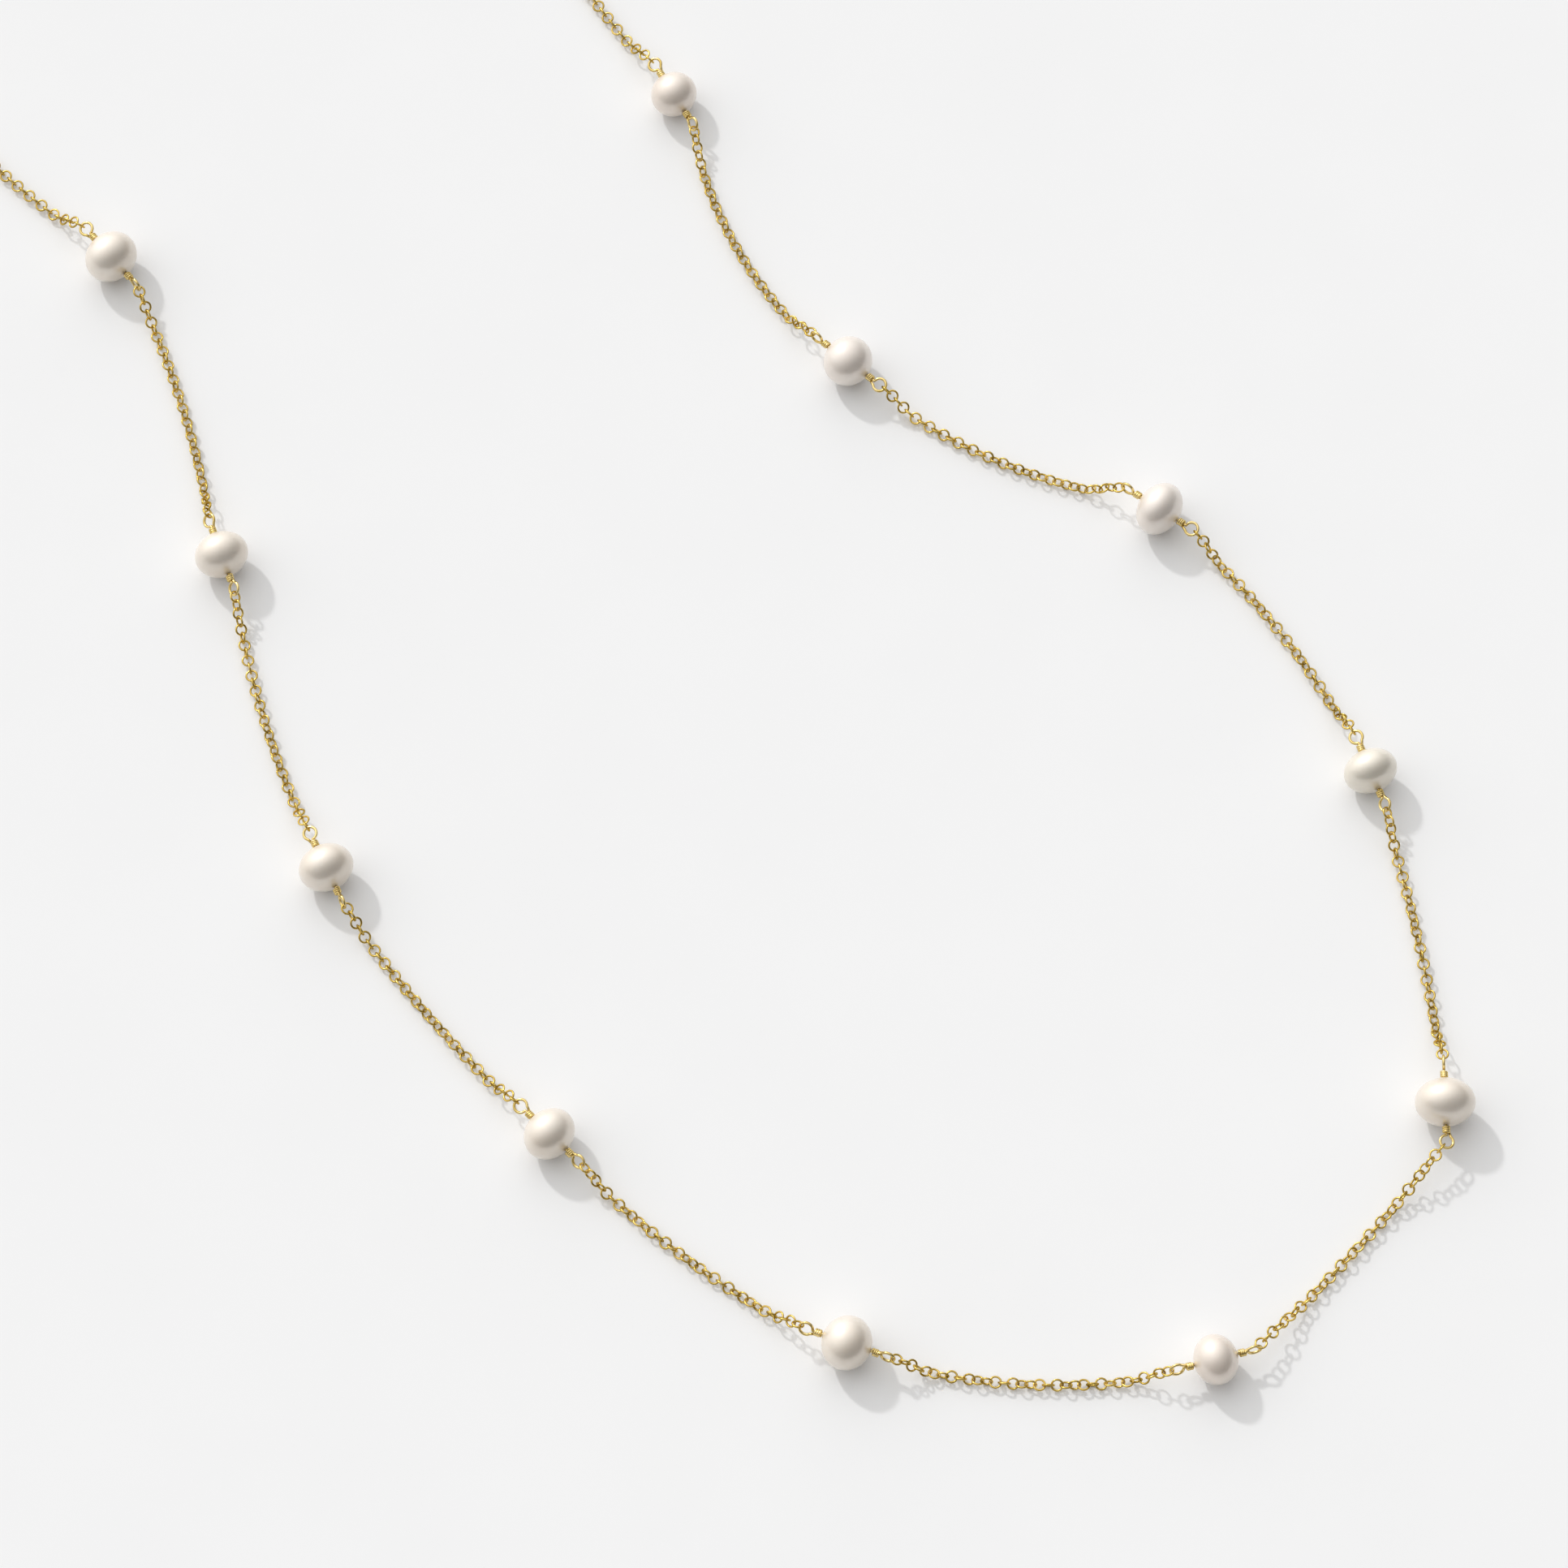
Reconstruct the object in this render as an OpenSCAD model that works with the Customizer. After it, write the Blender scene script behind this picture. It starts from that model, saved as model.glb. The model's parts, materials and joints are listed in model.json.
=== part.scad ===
// Station pearl necklace: eleven drilled pearls, each on its own wrapped wire,
// joined by lengths of fine round-link chain, with a spring-ring clasp.
// It lies open on a flat surface at z = 0, with the two ends towards +Y.

/* [Pearls] */
// Size of the pearls, as a share of the sizes in PEARL_ACROSS and PEARL_ALONG
pearl_scale = 1; // [0.94:0.01:1.04]
// Diameter of the drill hole through each pearl
drill_d = 0.4; // [0.36:0.01:0.44]

/* [Wrapped wires] */
// Diameter of the wire that carries a pearl
wire_d = 0.29; // [0.28:0.01:0.30]
// Outside diameter of the eye loop at each end of a wire
loop_d = 1.65; // [1.62:0.01:1.70]
// Turns wrapped round the wire between an eye loop and the pearl
wraps = 3; // [2:1:3]

/* [Chain] */
// Outside diameter of a round chain link
link_d = 1.33; // [1.33:0.01:1.36]
// Diameter of the wire that a link is made of
link_wire_d = 0.21; // [0.17:0.01:0.21]
// Distance from one link's centre to the next
link_pitch = 0.88; // [0.86:0.01:0.88]
// Number of links in each length of chain between two pearls
span_links = 33; // [31:1:35]
// Number of links in each of the two end lengths
end_links = 32; // [30:1:34]

/* [Clasp] */
// Outside diameter of the spring ring
ring_d = 5.5; // [5.5:0.1:6.5]
// Diameter of the hollow tube that the spring ring is bent from
tube_d = 1.2; // [1.15:0.05:1.25]
// Angle that the gate closes at the mouth of the spring ring
mouth_angle = 60; // [50:2:64]
// Diameter of the clasp's hole in the chain tab
tab_hole_d = 2; // [1.9:0.05:2.1]

/* [Hidden] */
$fn = 48;

GOLD = "#dfae3f";
PALE_GOLD = "#e9c56a";
NACRE = "#f1ebe3";
STEEL = "#b9bcc0";

// Pearls 1 to 11 from the clasp end: width across the drill hole, and length along it
PEARL_ACROSS = [5.8, 5.7, 5.8, 5.6, 5.6, 5.2, 6.2, 5.7, 5.8, 5.4, 5.0];
PEARL_ALONG = [5.0, 4.7, 4.7, 4.8, 5.1, 4.5, 4.9, 4.4, 4.5, 5.1, 4.7];

// How the necklace lies. A heading is the direction of travel, in degrees from +X.
START = [-59, 39];
WIRE_HEADING = [-50, -70, -65, -45, -20, 15, 90, 110, 145, 140, 120];

// Chains 0 to 11: 0 is the clasp's end, laid outwards from pearl 1, chain k joins pearl k
// to pearl k + 1, and 11 is the tab's end, laid outwards from pearl 11.
// Each one bends evenly from its first heading to its last.
CHAIN_FROM = [145, -65, -80, -55, -45, -15, 45, 95, 115, 170, 135, 130];
CHAIN_TO = [125, -80, -65, -45, -30, 10, 50, 105, 135, 140, 100, 115];
// Extra half turns of twist in each chain
CHAIN_TWIST = [0, 0, 1, 1, 2, 3, 3, 1, 2, 0, 0, 0];
// Links over which a chain comes down from an eye loop, and over which the arched one does
FALL_LINKS = 6;
ARCHED_CHAIN = 6;
ARCHED_FALL_LINKS = 11;

// Roll of each wire's two eye loops about the wire: 0 lies flat, 90 stands on edge
LOOP_IN_ROLL = [20, 40, 15, 20, 50, 65, 10, -50, -15, -15, -60];
LOOP_OUT_ROLL = [85, 50, 80, 50, 75, 80, 85, -20, -80, -80, -20];

PEARLS = 11;
FIRST_END = 0;
LAST_END = 11;

wire_r = wire_d / 2;
stem_r = wire_r - 0.015;
loop_r = loop_d / 2 - wire_r;
wrap_r = stem_r + wire_r - 0.01;
wrap_pitch = wire_d + 0.02;
pole_gap = 0.04;
link_wire_r = link_wire_d / 2;
link_r = link_d / 2 - link_wire_r;
rest_z = link_d / 2 + 0.005;
// From an eye loop's centre to the first link's centre, with a little play
loop_step = loop_r - wire_r + link_r - link_wire_r - 0.06;

// Jump rings stand on edge between the last link and what it carries
jump_r = 0.85;
jump_wire_r = 0.16;
jump_z = jump_r + jump_wire_r + 0.01;
jump_reach = 0.9;

tube_r = tube_d / 2;
bore_r = tube_r - 0.18;
gate_r = bore_r - 0.04;
ring_r = ring_d / 2 - tube_r;
eye_r = 0.62;
eye_wire_r = 0.16;
eye_bite = 0.1;
eye_reach = 0.85;
bore_angle = 270;
knob_angle = mouth_angle / 2 + 28;
gate_tail = knob_angle + 50;
socket_depth = 12;
gate_tip = 8;
// The gate slides until its tip is clear of the mouth
gate_travel = mouth_angle + gate_tip + 2;
knob_r = 0.17;
knob_out = 0.95;

tab_t = 0.4;
tab_hole_r = tab_hole_d / 2;
tab_eye_r = 0.45;
tab_rim = 0.5;
tab_wide_rim = 0.55;
tab_span = 3.6;
tab_z = 0.75;
tab_tilt = 6;
tab_reach = 0.81;

function across(k) = PEARL_ACROSS[k - 1] * pearl_scale;
function along(k) = PEARL_ALONG[k - 1] * pearl_scale;
function heading(k) = WIRE_HEADING[k - 1];
function direction(angle) = [cos(angle), sin(angle), 0];
function reach(k) = along(k) / 2 + pole_gap + wraps * wrap_pitch + loop_r + wire_r - 0.025;
function at_an_end(s) = s == FIRST_END || s == LAST_END;
function links_in(s) = at_an_end(s) ? end_links : span_links;
function smooth(u) = u * u * (3 - 2 * u);
function fall(s, j) = 1 - smooth(min(1, (j + 0.6) / (s == ARCHED_CHAIN ? ARCHED_FALL_LINKS : FALL_LINKS)));

// Heights of the loops that chain s hangs between
function near_z(s) = across(max(s, 1)) / 2;
function far_z(s) = at_an_end(s) ? rest_z : across(s + 1) / 2;

// Centres of chain s's links from the loop at "at", then the centre of what it ends in
function lay_chain(s, at, i = 0, laid = []) =
    i > links_in(s) ? laid :
    let (
        n = links_in(s),
        end_z = at_an_end(s) ? jump_z : far_z(s),
        end_step = at_an_end(s) ? norm([jump_reach, jump_z - rest_z]) : loop_step,
        turn = CHAIN_FROM[s] + (CHAIN_TO[s] - CHAIN_FROM[s]) * i / n,
        lift_near = (near_z(s) - rest_z) * fall(s, i),
        lift_far = (far_z(s) - rest_z) * fall(s, n - 1 - i),
        z = i < n ? rest_z + lift_near + lift_far : end_z,
        step = i == 0 ? loop_step : i < n ? link_pitch : end_step,
        flat = sqrt(step * step - (z - at.z) * (z - at.z)),
        next = at + flat * direction(turn) + [0, 0, z - at.z]
    )
    lay_chain(s, next, i + 1, concat(laid, [next]));

// Entry loop, pearl centre and exit loop of every wire, found by walking along the necklace
function lay_wires(k, at, laid = []) =
    k > PEARLS ? laid :
    let (
        centre = at + reach(k) * direction(heading(k)),
        out = centre + reach(k) * direction(heading(k)),
        chain = k < PEARLS ? lay_chain(k, out) : [out]
    )
    lay_wires(k + 1, chain[len(chain) - 1], concat(laid, [[at, centre, out]]));

WIRES = lay_wires(1, [START.x, START.y, across(1) / 2]);
function loop_in(k) = WIRES[k - 1][0];
function centre(k) = WIRES[k - 1][1];
function loop_out(k) = WIRES[k - 1][2];
function chain_start(s) = s == FIRST_END ? loop_in(1) : loop_out(s);
CHAINS = [for (s = [FIRST_END:LAST_END]) lay_chain(s, chain_start(s))];

// Roll of the loop that a chain starts from and ends at, seen along the chain
function start_roll(s) = s == FIRST_END ? -LOOP_IN_ROLL[0] : LOOP_OUT_ROLL[s - 1];
function end_roll(s) = at_an_end(s) ? 90 : LOOP_IN_ROLL[s];
function roll_step(s) =
    let (
        gaps = links_in(s) - 1,
        turn = end_roll(s) - start_roll(s),
        halves = round((90 * gaps - turn) / 180) + CHAIN_TWIST[s]
    )
    (turn + 180 * halves) / gaps;
function link_roll(s, i) = start_roll(s) + 90 + i * roll_step(s);

// Rotation that turns a ring in the XY plane into link i of chain s
function link_turn(s, i) =
    let (
        before = i == 0 ? chain_start(s) : CHAINS[s][i - 1],
        run = CHAINS[s][i + 1] - before
    )
    [link_roll(s, i), -atan2(run.z, norm([run.x, run.y])), atan2(run.y, run.x)];

// The free ends, which bend most, are hinged in three places and the other chains in one
function parts_in(s) = at_an_end(s) ? 4 : 2;

// First link of part p of chain s: whichever of two neighbours stands more upright
function first_link(s, p) =
    p == 0 ? 0 :
    p == parts_in(s) ? links_in(s) :
    let (m = floor(links_in(s) * p / parts_in(s)))
    abs(cos(link_roll(s, m))) < abs(cos(link_roll(s, m + 1))) ? m : m + 1;

module ring(radius, wire) {
    rotate_extrude()
        translate([radius, 0])
            circle(r = wire);
}

module arc(radius, wire, from, to) {
    rotate([0, 0, from])
        rotate_extrude(angle = to - from)
            translate([radius, 0])
                circle(r = wire);
}

// A drilled pearl: a flattened ball of revolution about its drill hole
module pearl(k) {
    round_r = along(k) / 2;
    flat_r = across(k) / 2 - round_r;
    color(NACRE)
        translate(centre(k))
            rotate([0, 90, heading(k)])
                rotate_extrude()
                    intersection() {
                        union() {
                            translate([flat_r, 0])
                                circle(r = round_r, $fn = 96);
                            translate([0, -round_r])
                                square([flat_r, 2 * round_r]);
                        }
                        translate([drill_d / 2, -across(k)])
                            square([across(k), 2 * across(k)]);
                    }
}

// One end of a wire, along +X from the pearl's pole: the wraps and the eye loop
module wire_end(k, roll) {
    for (i = [0:wraps - 1])
        translate([along(k) / 2 + pole_gap + wire_r + i * wrap_pitch, 0, 0])
            rotate([0, 90, 0])
                ring(wrap_r, wire_r);
    translate([reach(k), 0, 0])
        rotate([roll, 0, 0])
            ring(loop_r, wire_r);
}

// The wire through a pearl, bent to an eye loop at both ends and wrapped back on itself
module wire(k) {
    stem_end = reach(k) - loop_r;
    color(PALE_GOLD)
        translate(centre(k))
            rotate([0, 0, heading(k)]) {
                rotate([0, 90, 0])
                    cylinder(r = stem_r, h = 2 * stem_end, center = true);
                wire_end(k, LOOP_OUT_ROLL[k - 1]);
                rotate([0, 0, 180])
                    wire_end(k, -LOOP_IN_ROLL[k - 1]);
            }
}

// The links of part p of chain s
module links(s, p) {
    color(GOLD)
        for (i = [first_link(s, p):first_link(s, p + 1) - 1])
            translate(CHAINS[s][i])
                rotate(link_turn(s, i))
                    ring(link_r, link_wire_r);
}

// Puts a child at the end of a free chain: its origin at the jump ring, +X outwards
module at_end(s) {
    translate(CHAINS[s][links_in(s)])
        rotate([0, 0, CHAIN_TO[s]])
            children();
}

module jump_ring(s) {
    color(GOLD)
        at_end(s)
            rotate([90, 0, 0])
                ring(jump_r, jump_wire_r);
}

// Puts a child at the spring ring's centre, with the mouth facing outwards along +X
module at_clasp() {
    ring_reach = eye_reach + eye_r + eye_wire_r + ring_r + tube_r - eye_bite;
    at_end(FIRST_END)
        translate([ring_reach, 0, tube_r - jump_z])
            children();
}

module clasp_case() {
    half_mouth = mouth_angle / 2;
    bore_end = half_mouth + bore_angle;
    slot_from = knob_angle - 6;
    slot_to = knob_angle + gate_travel + 6;
    color(GOLD)
        at_clasp() {
            difference() {
                arc(ring_r, tube_r, half_mouth, 360 - half_mouth);
                arc(ring_r, bore_r, half_mouth - 1, bore_end);
                arc(ring_r, bore_r, 360 - half_mouth - socket_depth, 361 - half_mouth);
                rotate([0, 0, slot_from])
                    rotate_extrude(angle = slot_to - slot_from)
                        translate([ring_r, -knob_r - 0.05])
                            square([tube_r + 1, 2 * knob_r + 0.1]);
            }
            translate([-(ring_r + tube_r + eye_r + eye_wire_r - eye_bite), 0, 0])
                ring(eye_r, eye_wire_r);
        }
}

// The sliding gate, shut across the mouth, with the thumb knob that stands out of the slot
module clasp_gate() {
    color(PALE_GOLD)
        at_clasp() {
            arc(ring_r, gate_r, -mouth_angle / 2 - gate_tip, gate_tail);
            rotate([0, 0, knob_angle])
                translate([ring_r, 0, 0])
                    rotate([0, 90, 0])
                        cylinder(r = knob_r, h = knob_out);
            rotate([0, 0, knob_angle])
                translate([ring_r + knob_out, 0, 0])
                    sphere(r = knob_r + 0.08);
        }
}

// The coil spring behind the gate, as the curved sleeve that its turns fill
module clasp_spring() {
    color(STEEL)
        at_clasp()
            rotate([0, 0, gate_tail + 1])
                rotate_extrude(angle = mouth_angle / 2 + bore_angle - gate_tail - 2)
                    translate([ring_r, 0])
                        difference() {
                            circle(r = gate_r);
                            circle(r = gate_r - 0.12);
                        }
}

// Flat tab that the clasp hooks into, resting on its wide end
module chain_tab() {
    color(GOLD)
        at_end(LAST_END)
            translate([tab_reach, 0, tab_z - jump_z])
                rotate([0, tab_tilt, 0])
                    translate([0, 0, -tab_t / 2])
                        linear_extrude(height = tab_t)
                            difference() {
                                union() {
                                    circle(r = tab_eye_r + tab_rim);
                                    translate([tab_span, 0])
                                        circle(r = tab_hole_r + tab_wide_rim);
                                    translate([0, -tab_eye_r - 0.2])
                                        square([tab_span, 2 * tab_eye_r + 0.4]);
                                }
                                circle(r = tab_eye_r);
                                translate([tab_span, 0])
                                    circle(r = tab_hole_r);
                            }
}

pearl(1);  // pearl_01
pearl(2);  // pearl_02
pearl(3);  // pearl_03
pearl(4);  // pearl_04
pearl(5);  // pearl_05
pearl(6);  // pearl_06
pearl(7);  // pearl_07
pearl(8);  // pearl_08
pearl(9);  // pearl_09
pearl(10);  // pearl_10
pearl(11);  // pearl_11
wire(1);  // wire_01
wire(2);  // wire_02
wire(3);  // wire_03
wire(4);  // wire_04
wire(5);  // wire_05
wire(6);  // wire_06
wire(7);  // wire_07
wire(8);  // wire_08
wire(9);  // wire_09
wire(10);  // wire_10
wire(11);  // wire_11
links(1, 0);  // chain_01_a
links(1, 1);  // chain_01_b
links(2, 0);  // chain_02_a
links(2, 1);  // chain_02_b
links(3, 0);  // chain_03_a
links(3, 1);  // chain_03_b
links(4, 0);  // chain_04_a
links(4, 1);  // chain_04_b
links(5, 0);  // chain_05_a
links(5, 1);  // chain_05_b
links(6, 0);  // chain_06_a
links(6, 1);  // chain_06_b
links(7, 0);  // chain_07_a
links(7, 1);  // chain_07_b
links(8, 0);  // chain_08_a
links(8, 1);  // chain_08_b
links(9, 0);  // chain_09_a
links(9, 1);  // chain_09_b
links(10, 0);  // chain_10_a
links(10, 1);  // chain_10_b
links(FIRST_END, 0);  // left_end_chain_a
links(FIRST_END, 1);  // left_end_chain_b
links(FIRST_END, 2);  // left_end_chain_c
links(FIRST_END, 3);  // left_end_chain_d
links(LAST_END, 0);  // right_end_chain_a
links(LAST_END, 1);  // right_end_chain_b
links(LAST_END, 2);  // right_end_chain_c
links(LAST_END, 3);  // right_end_chain_d
jump_ring(FIRST_END);  // clasp_jump_ring
clasp_case();
clasp_gate();
clasp_spring();
jump_ring(LAST_END);  // tab_jump_ring
chain_tab();
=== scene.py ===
"""Station pearl necklace: drilled pearls on wrapped gold wires, joined by fine round-link chain."""
import json
import math

import bmesh
import bpy
import numpy as np
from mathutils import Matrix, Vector, noise


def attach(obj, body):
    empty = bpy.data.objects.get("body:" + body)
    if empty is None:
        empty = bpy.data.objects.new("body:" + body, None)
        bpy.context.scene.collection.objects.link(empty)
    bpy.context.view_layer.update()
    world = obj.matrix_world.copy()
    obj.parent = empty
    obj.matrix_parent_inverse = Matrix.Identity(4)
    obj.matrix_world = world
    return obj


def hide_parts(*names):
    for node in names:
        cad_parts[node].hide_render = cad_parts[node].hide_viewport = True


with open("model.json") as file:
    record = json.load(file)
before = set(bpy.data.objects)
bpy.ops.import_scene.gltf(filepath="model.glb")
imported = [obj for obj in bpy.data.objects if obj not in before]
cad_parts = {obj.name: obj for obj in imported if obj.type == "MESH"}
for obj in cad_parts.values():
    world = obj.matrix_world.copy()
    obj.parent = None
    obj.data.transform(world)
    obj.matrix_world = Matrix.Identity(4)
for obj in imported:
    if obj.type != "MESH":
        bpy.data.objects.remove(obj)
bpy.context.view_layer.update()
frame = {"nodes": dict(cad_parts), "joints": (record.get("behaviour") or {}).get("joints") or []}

MM = 0.001

# Sizes of the real pieces, in metres. A ring's radius is that of its wire's centre line.
PEARLS = 11
DRILL_R = 0.2 * MM
WIRE_R = 0.145 * MM
STEM_R = 0.13 * MM
LOOP_R = 0.68 * MM
WRAPS = 3
WRAP_R = 0.265 * MM
WRAP_PITCH = 2 * WIRE_R + 0.02 * MM
POLE_GAP = 0.04 * MM
LOOP_BITE = 0.025 * MM
LINK_R = 0.56 * MM
LINK_WIRE_R = 0.105 * MM
JUMP_RING_R = 0.85 * MM
JUMP_RING_WIRE_R = 0.16 * MM

JOINTS = {j["name"]: j for j in frame["joints"]}
NODES = list(frame["nodes"])


# ---------------------------------------------------------------- reading the frame

WELD_DISTANCE = 1e-7
# Points of a wire that lie up to this far inside the loop's centre are still the loop's own
LOOP_MARGIN = 0.4 * LOOP_R


def islands(node):
    """The separate solids of a CAD node, each as an array of its points."""
    bm = bmesh.new()
    bm.from_mesh(frame["nodes"][node].data)
    bmesh.ops.remove_doubles(bm, verts=bm.verts, dist=WELD_DISTANCE)
    seen, found = set(), []
    for first in bm.verts:
        if first in seen:
            continue
        seen.add(first)
        stack, points = [first], []
        while stack:
            v = stack.pop()
            points.append(v.co[:])
            for e in v.link_edges:
                w = e.other_vert(v)
                if w not in seen:
                    seen.add(w)
                    stack.append(w)
        found.append(np.array(points))
    bm.free()
    return found


def flat_normal(points):
    """Unit normal of a flat ring of points."""
    spread = points - (points.min(0) + points.max(0)) / 2
    return Vector(np.linalg.svd(spread, full_matrices=False)[2][2])


def ring_frame(points):
    """Centre and normal of a torus from its points."""
    normal = flat_normal(points)
    side = normal.orthogonal().normalized()
    other = normal.cross(side)
    axes = np.array([side, other, normal])
    local = points @ axes.T
    middle = (local.min(0) + local.max(0)) / 2
    return Vector(middle @ axes), normal


def spin_axis(k):
    """Centre of pearl k and the direction of its wire."""
    joint = JOINTS["pearl_%02d_spin" % k]
    return Vector(joint["pos_m"]), Vector(joint["axis"]).normalized()


def wire_frame(k):
    """Pearl centre, direction of the wire, half span to the eye loops and each loop's normal."""
    centre, along = spin_axis(k)
    points = np.concatenate(islands("wire_%02d" % k))
    local = (points - np.array(centre)) @ np.array(along)
    reach = local.max() - LOOP_R - WIRE_R
    normals = [flat_normal(points[sign * local > reach - LOOP_MARGIN]) for sign in (1, -1)]
    return centre, along, reach, normals


def pearl_frame(k):
    """Pearl centre, direction of its hole, and half its size along the hole and across it."""
    centre, along = spin_axis(k)
    points = np.concatenate(islands("pearl_%02d" % k)) - np.array(centre)
    local = points @ np.array(along)
    half_along = float(np.abs(local).max())
    half_across = float(np.sqrt(np.maximum((points ** 2).sum(1) - local ** 2, 0)).max())
    return centre, along, half_along, half_across


# ---------------------------------------------------------------- mesh helpers

# How far out each ring of a tube's rounded end lies, as shares of the tube's radius
END_STEPS = (0.35, 0.7, 0.95)


def new_object(name, verts, faces, smooth=True):
    mesh = bpy.data.meshes.new(name)
    mesh.from_pydata([tuple(v) for v in verts], [], faces)
    mesh.update()
    if smooth:
        mesh.polygons.foreach_set("use_smooth", [True] * len(mesh.polygons))
    obj = bpy.data.objects.new(name, mesh)
    bpy.context.scene.collection.objects.link(obj)
    return obj


def torus_data(centre, normal, radius, wire, around=36, across=14):
    side = normal.orthogonal().normalized()
    other = normal.cross(side)
    verts, faces = [], []
    for i in range(around):
        a = 2 * math.pi * i / around
        out = side * math.cos(a) + other * math.sin(a)
        for j in range(across):
            b = 2 * math.pi * j / across
            verts.append(centre + out * (radius + wire * math.cos(b)) + normal * (wire * math.sin(b)))
    for i in range(around):
        for j in range(across):
            p, q = (i + 1) % around, (j + 1) % across
            faces.append((i * across + j, p * across + j, p * across + q, i * across + q))
    return verts, faces


def joined(parts):
    """One list of points and one of faces from several."""
    verts, faces = [], []
    for v, f in parts:
        base = len(verts)
        verts += v
        faces += [tuple(i + base for i in face) for face in f]
    return verts, faces


def tube_data(path, radii, sides=14):
    """A closed tube along path, with rounded ends, turning as little as it can."""
    pts = [Vector(p) for p in path]
    tangents = []
    for i in range(len(pts)):
        before, after = pts[max(i - 1, 0)], pts[min(i + 1, len(pts) - 1)]
        tangents.append((after - before).normalized())
    normal = tangents[0].orthogonal().normalized()
    verts, faces, rings = [], [], []

    def add_ring(at, tangent, r):
        nonlocal normal
        normal = (normal - tangent * normal.dot(tangent)).normalized()
        other = tangent.cross(normal)
        rings.append(len(verts))
        for j in range(sides):
            b = 2 * math.pi * j / sides
            verts.append(at + (normal * math.cos(b) + other * math.sin(b)) * r)

    def add_end_ring(end, outward, step):
        at = pts[end] + tangents[end] * outward * radii[end] * step
        add_ring(at, tangents[end], radii[end] * math.sqrt(1 - step * step))

    for step in reversed(END_STEPS):
        add_end_ring(0, -1, step)
    for p, t, r in zip(pts, tangents, radii):
        add_ring(p, t, r)
    for step in END_STEPS:
        add_end_ring(-1, 1, step)
    for a, b in zip(rings, rings[1:]):
        for j in range(sides):
            q = (j + 1) % sides
            faces.append((a + j, a + q, b + q, b + j))
    faces.append(tuple(rings[0] + j for j in reversed(range(sides))))
    faces.append(tuple(rings[-1] + j for j in range(sides)))
    return verts, faces


# ---------------------------------------------------------------- materials

def material(name):
    mat = bpy.data.materials.new(name)
    mat.use_nodes = True
    nodes, links = mat.node_tree.nodes, mat.node_tree.links
    return mat, nodes, links, nodes["Principled BSDF"]


def textured(nodes, links, scale, detail):
    """Noise fixed to the object, with scale in waves per metre."""
    where = nodes.new("ShaderNodeTexCoord")
    tex = nodes.new("ShaderNodeTexNoise")
    tex.inputs["Scale"].default_value = scale
    tex.inputs["Detail"].default_value = detail
    links.new(where.outputs["Object"], tex.inputs["Vector"])
    return tex.outputs["Fac"]


def ramp(nodes, links, source, stops):
    node = nodes.new("ShaderNodeValToRGB")
    node.color_ramp.elements[0].position, node.color_ramp.elements[0].color = stops[0]
    node.color_ramp.elements[1].position, node.color_ramp.elements[1].color = stops[-1]
    for position, colour in stops[1:-1]:
        node.color_ramp.elements.new(position).color = colour
    links.new(source, node.inputs["Fac"])
    return node.outputs["Color"]


def mottled(nodes, links, bsdf, scale, detail, dark, light, edge=0.3):
    """Base colour in clouds from dark to light. A larger edge makes the clouds' borders sharper."""
    clouds = textured(nodes, links, scale, detail)
    colour = ramp(nodes, links, clouds, [(edge, dark + (1,)), (1 - edge, light + (1,))])
    links.new(colour, bsdf.inputs["Base Color"])


def uneven_gloss(nodes, links, bsdf, source, smoothest, roughest):
    """Roughness that follows source between two values."""
    spread = nodes.new("ShaderNodeMapRange")
    spread.inputs["To Min"].default_value = smoothest
    spread.inputs["To Max"].default_value = roughest
    links.new(source, spread.inputs["Value"])
    links.new(spread.outputs["Result"], bsdf.inputs["Roughness"])


def bumped(nodes, links, bsdf, source, strength, distance):
    bump = nodes.new("ShaderNodeBump")
    bump.inputs["Strength"].default_value = strength
    bump.inputs["Distance"].default_value = distance
    links.new(source, bump.inputs["Height"])
    links.new(bump.outputs["Normal"], bsdf.inputs["Normal"])


def set_values(bsdf, values):
    for socket, value in values.items():
        bsdf.inputs[socket].default_value = value


def gold(name, light, dark, rough):
    """Polished gold, deeper in places, with fine wear that changes its gloss round rough."""
    mat, nodes, links, bsdf = material(name)
    mottled(nodes, links, bsdf, scale=900, detail=3, dark=dark, light=light)
    wear = textured(nodes, links, scale=2600, detail=5)
    uneven_gloss(nodes, links, bsdf, wear, smoothest=rough - 0.06, roughest=rough + 0.10)
    bumped(nodes, links, bsdf, wear, strength=0.25, distance=0.004 * MM)
    set_values(bsdf, {"Metallic": 1.0, "Specular Tint": (0.55, 0.48, 0.3, 1)})
    return mat


def nacre(name, body, clouds):
    """White nacre: a soft body with faint clouds under a clear, slightly uneven gloss."""
    mat, nodes, links, bsdf = material(name)
    mottled(nodes, links, bsdf, scale=320, detail=3, dark=clouds, light=body, edge=0.32)
    grain = textured(nodes, links, scale=700, detail=4)
    uneven_gloss(nodes, links, bsdf, grain, smoothest=0.36, roughest=0.46)
    bumped(nodes, links, bsdf, grain, strength=0.10, distance=0.02 * MM)
    set_values(bsdf, {
        "Metallic": 0.3,
        "IOR": 1.66,
        "Specular IOR Level": 0.75,
        "Subsurface Weight": 0.08,
        "Subsurface Radius": (1.0, 0.75, 0.6),
        "Subsurface Scale": 0.4 * MM,
        "Coat Weight": 0.9,
        "Coat Roughness": 0.24,
        "Coat IOR": 2.0,
    })
    return mat


def steel(name):
    dark, light = (0.42, 0.43, 0.45), (0.66, 0.67, 0.7)
    mat, nodes, links, bsdf = material(name)
    mottled(nodes, links, bsdf, scale=3000, detail=2, dark=dark, light=light)
    set_values(bsdf, {"Metallic": 1.0, "Roughness": 0.25})
    return mat


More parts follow.
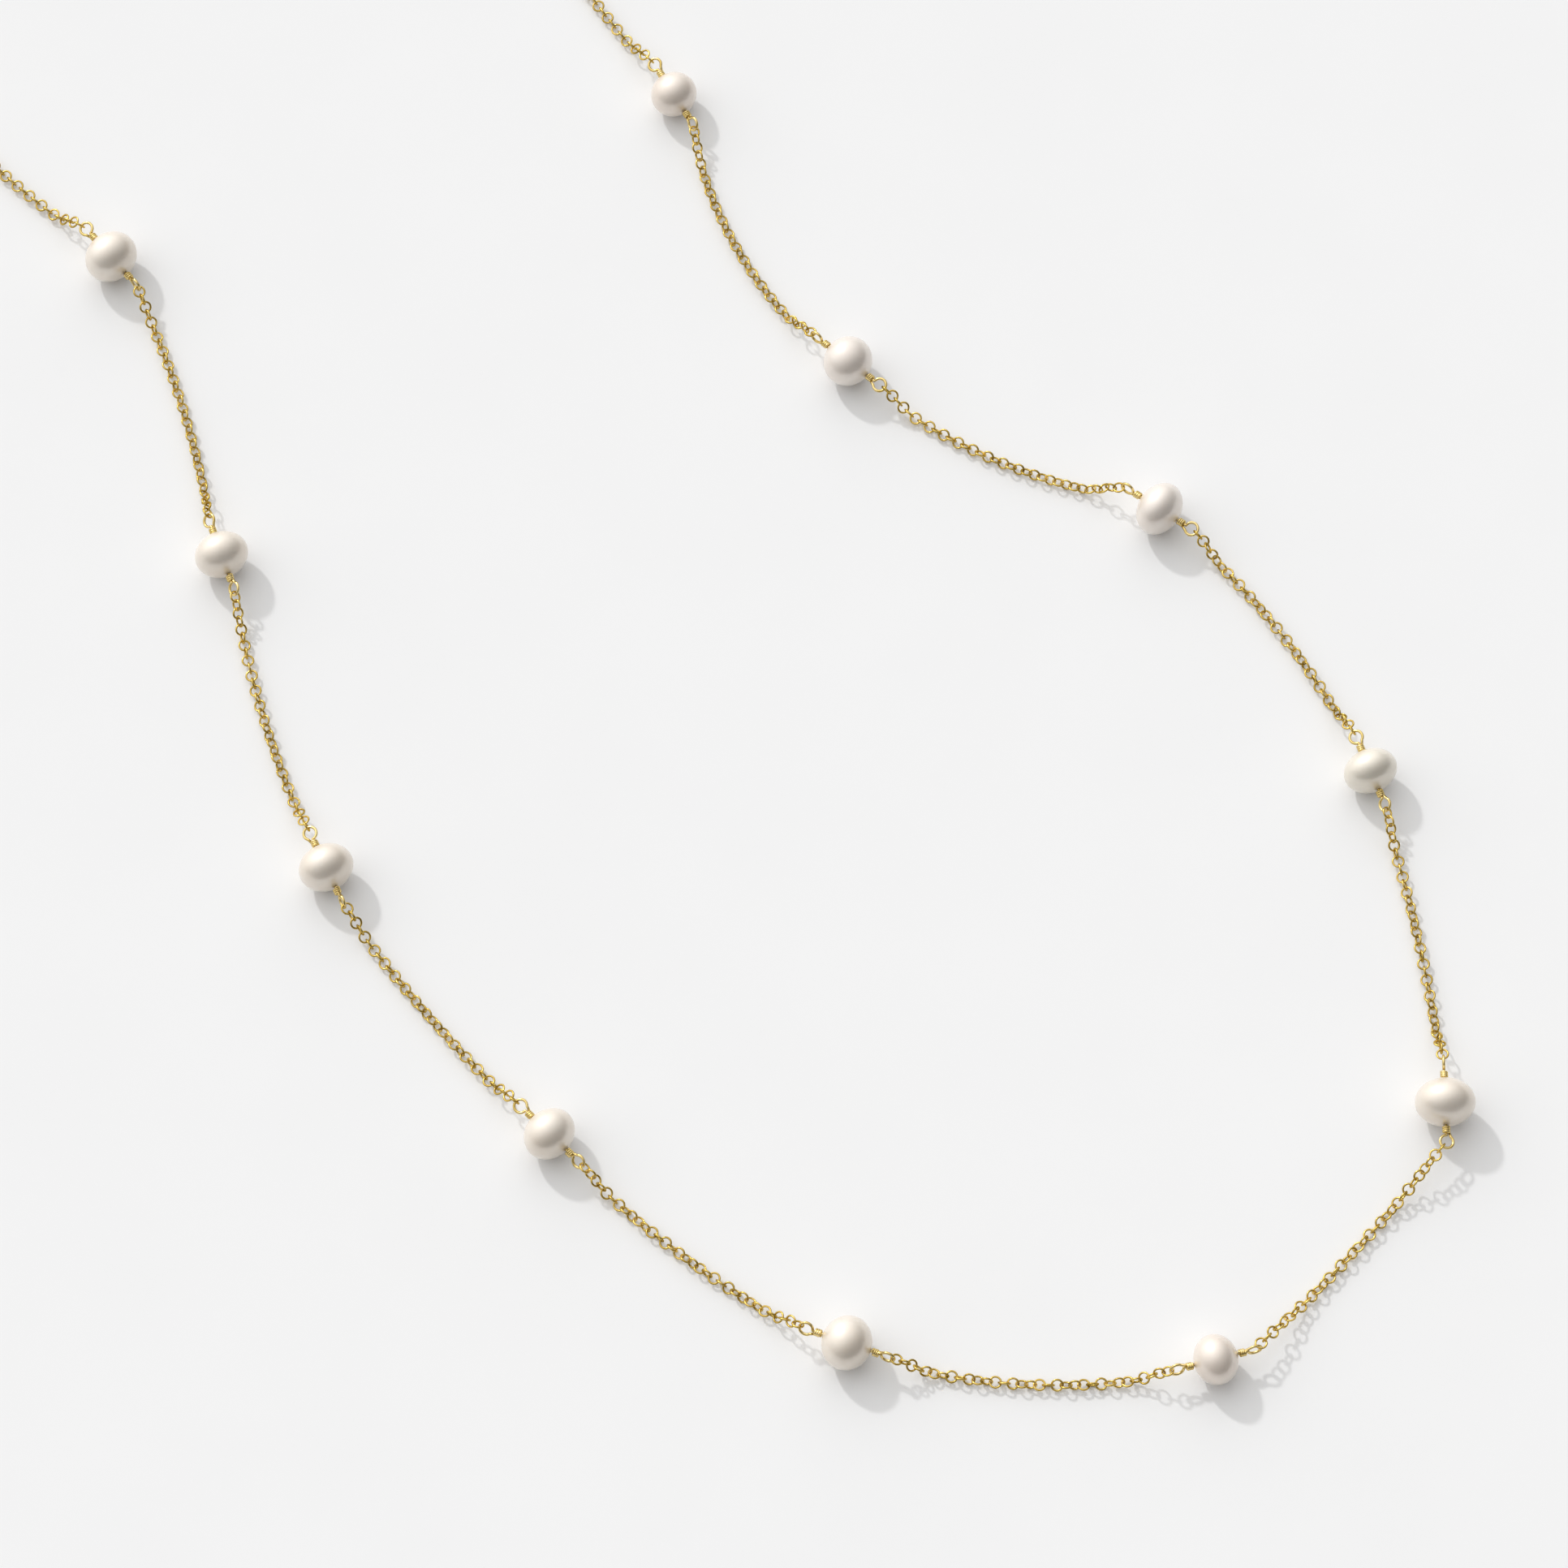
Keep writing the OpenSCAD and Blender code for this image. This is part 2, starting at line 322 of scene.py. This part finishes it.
CHAIN_GOLD = gold("chain_gold", light=(0.87, 0.63, 0.19), dark=(0.42, 0.28, 0.05), rough=0.24)
WIRE_GOLD = gold("wrapped_wire_gold", light=(0.95, 0.76, 0.36), dark=(0.66, 0.48, 0.15), rough=0.22)
CLASP_GOLD = gold("clasp_gold", light=(0.89, 0.66, 0.22), dark=(0.62, 0.43, 0.10), rough=0.18)
SPRING_STEEL = steel("spring_steel")

# Body colour of the pearls and the colour of the faint clouds in it. Most pearls are cream.
CREAM = ((0.87, 0.785, 0.68), (0.82, 0.72, 0.60))
ROSE = ((0.86, 0.765, 0.67), (0.82, 0.71, 0.61))
COOL = ((0.87, 0.79, 0.71), (0.82, 0.73, 0.65))
GREYISH = ((0.84, 0.775, 0.66), (0.79, 0.72, 0.60))
PEARL_COLOURS = {6: ROSE, 8: GREYISH, 9: COOL, 10: COOL, 11: ROSE}


# ---------------------------------------------------------------- chain and jump rings

def make_links(node):
    """The separate round links of one node of chain."""
    parts = []
    for points in islands(node):
        centre, normal = ring_frame(points)
        parts.append(torus_data(centre, normal, LINK_R, LINK_WIRE_R))
    piece = new_object(node + "_links", *joined(parts))
    piece.data.materials.append(CHAIN_GOLD)
    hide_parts(node)
    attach(piece, node)


def make_jump_ring(node):
    centre, normal = ring_frame(islands(node)[0])
    torus = torus_data(centre, normal, JUMP_RING_R, JUMP_RING_WIRE_R, around=64, across=20)
    ring = new_object(node + "_round", *torus)
    ring.data.materials.append(CHAIN_GOLD)
    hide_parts(node)
    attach(ring, node)


# ---------------------------------------------------------------- wrapped wires

STEPS_PER_WRAP = 20
LOOP_STEPS = 34
# The eye loop leaves the wraps at this angle from the outward direction, and this is its sweep
LOOP_START = math.radians(148)
LOOP_SWEEP = math.radians(328)
# From the loop to the point on the wire's axis where the straight stem begins
NECK_INSET = 0.16 * MM


def half_wire_path(outward, across, reach, pole):
    """From the wraps' cut end beside the pearl, out to the eye loop, round it and in to the stem.
    It is given along outward from the pearl's centre, with the loop in the plane of across."""
    turn_axis = outward.cross(across)
    path = []
    start = pole + POLE_GAP + WIRE_R
    rise = WRAP_PITCH * (WRAPS - 1) / WRAPS
    for i in range(WRAPS * STEPS_PER_WRAP + 1):
        turns = i / STEPS_PER_WRAP
        a = 2 * math.pi * (turns - WRAPS) + math.pi / 2
        out = across * math.sin(a) + turn_axis * math.cos(a)
        path.append(outward * (start + turns * rise) + out * WRAP_R)
    # The loop leaves the wraps on one side, goes round and ends on the wire's own axis
    for i in range(1, LOOP_STEPS + 1):
        a = LOOP_START - LOOP_SWEEP * i / LOOP_STEPS
        path.append(outward * (reach + LOOP_R * math.cos(a)) + across * (LOOP_R * math.sin(a)))
    path.append(outward * (reach - LOOP_R - NECK_INSET))
    return path


def make_wire(k):
    """One wire: wraps and loop on the near side, the straight stem, loop and wraps on the far side."""
    centre, along, reach, normals = wire_frame(k)
    pole = reach - LOOP_R - WIRE_R - WRAPS * WRAP_PITCH - POLE_GAP + LOOP_BITE
    far_across = normals[0].cross(along).normalized()
    near_across = normals[1].cross(-along).normalized()
    near = half_wire_path(-along, near_across, reach, pole)
    far = half_wire_path(along, far_across, reach, pole)
    path = [centre + p for p in near + far[::-1]]
    radii = [WIRE_R] * len(path)
    # The stem runs straight from the near half's last point to the far half's
    stem_start = len(near) - 1
    radii[stem_start] = STEM_R
    radii[stem_start + 1] = STEM_R
    piece = new_object("wire_%02d_wrapped" % k, *tube_data(path, radii))
    piece.data.materials.append(WIRE_GOLD)
    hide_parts("wire_%02d" % k)
    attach(piece, "wire_%02d" % k)


# ---------------------------------------------------------------- pearls

PEARL_ROWS = 72
PEARL_COLUMNS = 96
# Waves per metre of the broad and the fine bumps, and their heights as shares of the pearl's size
BROAD_WAVES = 420
BROAD_HEIGHT = 0.009
FINE_WAVES = 1100
FINE_HEIGHT = 0.0022
# On average a pearl is smaller than its CAD solid by this share, which leaves room for its bumps
MEAN_SHRINK = 0.009
# From one pearl to the next the noise is moved this far, so that no two are alike
BROAD_SHIFT = 7.1
FINE_SHIFT = 3.3
# The bumps fade out towards the hole, from this share of the pearl's radius inwards
FADE_FROM = 0.5


def shrinkage(k, point):
    """The share by which pearl k is smaller than its CAD solid at a point."""
    broad = noise.noise(point * BROAD_WAVES + Vector((k * BROAD_SHIFT, 0, 0)))
    fine = noise.noise(point * FINE_WAVES + Vector((0, k * FINE_SHIFT, 0)))
    return MEAN_SHRINK + BROAD_HEIGHT * broad + FINE_HEIGHT * fine


def pearl_data(k):
    """A drilled pearl, a little uneven as freshwater pearls are."""
    centre, along, half_along, half_across = pearl_frame(k)
    side = along.orthogonal().normalized()
    other = along.cross(side)
    hole = math.asin(DRILL_R / half_across)
    verts, faces = [], []
    for i in range(PEARL_ROWS + 1):
        a = hole + (math.pi - 2 * hole) * i / PEARL_ROWS
        axial, radial = half_along * math.cos(a), half_across * math.sin(a)
        fade = min(1, radial / (FADE_FROM * half_across))
        for j in range(PEARL_COLUMNS):
            turn = 2 * math.pi * j / PEARL_COLUMNS
            point = Vector((axial, radial * math.cos(turn), radial * math.sin(turn)))
            size = 1 - fade * shrinkage(k, point)
            out = side * math.cos(turn) + other * math.sin(turn)
            verts.append(centre + along * (axial * size) + out * (radial * size))
    for i in range(PEARL_ROWS):
        for j in range(PEARL_COLUMNS):
            here, below = i * PEARL_COLUMNS, (i + 1) * PEARL_COLUMNS
            q = (j + 1) % PEARL_COLUMNS
            faces.append((below + j, below + q, here + q, here + j))
    # The drill hole's wall joins the two mouths
    last = PEARL_ROWS * PEARL_COLUMNS
    for j in range(PEARL_COLUMNS):
        q = (j + 1) % PEARL_COLUMNS
        faces.append((j, q, last + q, last + j))
    return verts, faces


def make_pearl(k):
    piece = new_object("pearl_%02d_nacre" % k, *pearl_data(k))
    body, clouds = PEARL_COLOURS.get(k, CREAM)
    piece.data.materials.append(nacre("nacre_%02d" % k, body, clouds))
    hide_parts("pearl_%02d" % k)
    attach(piece, "pearl_%02d" % k)


# ---------------------------------------------------------------- the necklace

# These keep their CAD shape and get a finish only
CAD_FINISHES = {
    "clasp_case": CLASP_GOLD,
    "clasp_gate": CLASP_GOLD,
    "chain_tab": CHAIN_GOLD,
    "clasp_spring": SPRING_STEEL,
}

for node in NODES:
    if "chain_" in node and node != "chain_tab":
        make_links(node)
for k in range(1, PEARLS + 1):
    make_wire(k)
    make_pearl(k)
for node in ("clasp_jump_ring", "tab_jump_ring"):
    make_jump_ring(node)
for node, finish in CAD_FINISHES.items():
    mesh = frame["nodes"][node].data
    mesh.materials.clear()
    mesh.materials.append(finish)


# ---------------------------------------------------------------- floor, light and camera

FLOOR_HALF = 3.0
FLOOR_DARK = (0.895, 0.895, 0.895)
FLOOR_LIGHT = (0.905, 0.905, 0.905)

KEY_DIRECTION = Vector((-0.61, 0.79, 0.84)).normalized()
KEY_ENERGY = 0.92
KEY_ANGLE = math.radians(3.5)
# Brightness of the studio from straight behind the key light, 0, to the key light itself, 1
STUDIO_GLOW = [
    (0.0, 0.08), (0.40, 0.10), (0.52, 0.17), (0.66, 0.34), (0.80, 0.66), (0.92, 0.92), (1.0, 1.0)
]
STUDIO_STRENGTH = 1.5

VIEW_TARGET = Vector((15.2 * MM, -23.5 * MM, 0))
CAMERA_TILT = math.radians(22)
CAMERA_DISTANCE = 0.7
FIELD_OF_VIEW = math.radians(13.2)
CLIP_START = 0.01
CLIP_END = 10


def aim(obj, target):
    obj.rotation_euler = (Vector(target) - obj.location).to_track_quat("-Z", "Y").to_euler()


def make_floor():
    mat, nodes, links, bsdf = material("pale_floor")
    mottled(nodes, links, bsdf, scale=60, detail=4, dark=FLOOR_DARK, light=FLOOR_LIGHT)
    set_values(bsdf, {"Roughness": 0.85, "Specular IOR Level": 0.1})
    corners = [(x * FLOOR_HALF, y * FLOOR_HALF, 0) for x, y in ((-1, -1), (1, -1), (1, 1), (-1, 1))]
    floor = new_object("floor", corners, [(0, 1, 2, 3)], smooth=False)
    floor.data.materials.append(mat)


def make_key_light():
    data = bpy.data.lights.new("key", "SUN")
    data.energy = KEY_ENERGY
    data.angle = KEY_ANGLE
    lamp = bpy.data.objects.new("key", data)
    lamp.location = KEY_DIRECTION
    bpy.context.scene.collection.objects.link(lamp)
    aim(lamp, (0, 0, 0))


def make_studio():
    """A big soft light round the key's direction, which falls off to a dim room on the far side."""
    world = bpy.data.worlds.new("studio")
    bpy.context.scene.world = world
    world.use_nodes = True
    nodes, links = world.node_tree.nodes, world.node_tree.links
    where = nodes.new("ShaderNodeTexCoord")
    towards = nodes.new("ShaderNodeVectorMath")
    towards.operation = "DOT_PRODUCT"
    towards.inputs[1].default_value = KEY_DIRECTION
    links.new(where.outputs["Generated"], towards.inputs[0])
    half = nodes.new("ShaderNodeMapRange")
    half.inputs["From Min"].default_value = -1.0
    links.new(towards.outputs["Value"], half.inputs["Value"])
    glow = ramp(nodes, links, half.outputs["Result"], [(at, (v, v, v, 1)) for at, v in STUDIO_GLOW])
    links.new(glow, nodes["Background"].inputs["Color"])
    nodes["Background"].inputs["Strength"].default_value = STUDIO_STRENGTH


def make_camera():
    data = bpy.data.cameras.new("camera")
    data.angle = FIELD_OF_VIEW
    data.clip_start = CLIP_START
    data.clip_end = CLIP_END
    camera = bpy.data.objects.new("camera", data)
    bpy.context.scene.collection.objects.link(camera)
    towards_camera = Vector((0, -math.sin(CAMERA_TILT), math.cos(CAMERA_TILT)))
    camera.location = VIEW_TARGET + towards_camera * CAMERA_DISTANCE
    aim(camera, VIEW_TARGET)
    bpy.context.scene.camera = camera


make_floor()
make_key_light()
make_studio()
make_camera()
bpy.context.scene.view_settings.view_transform = "Standard"
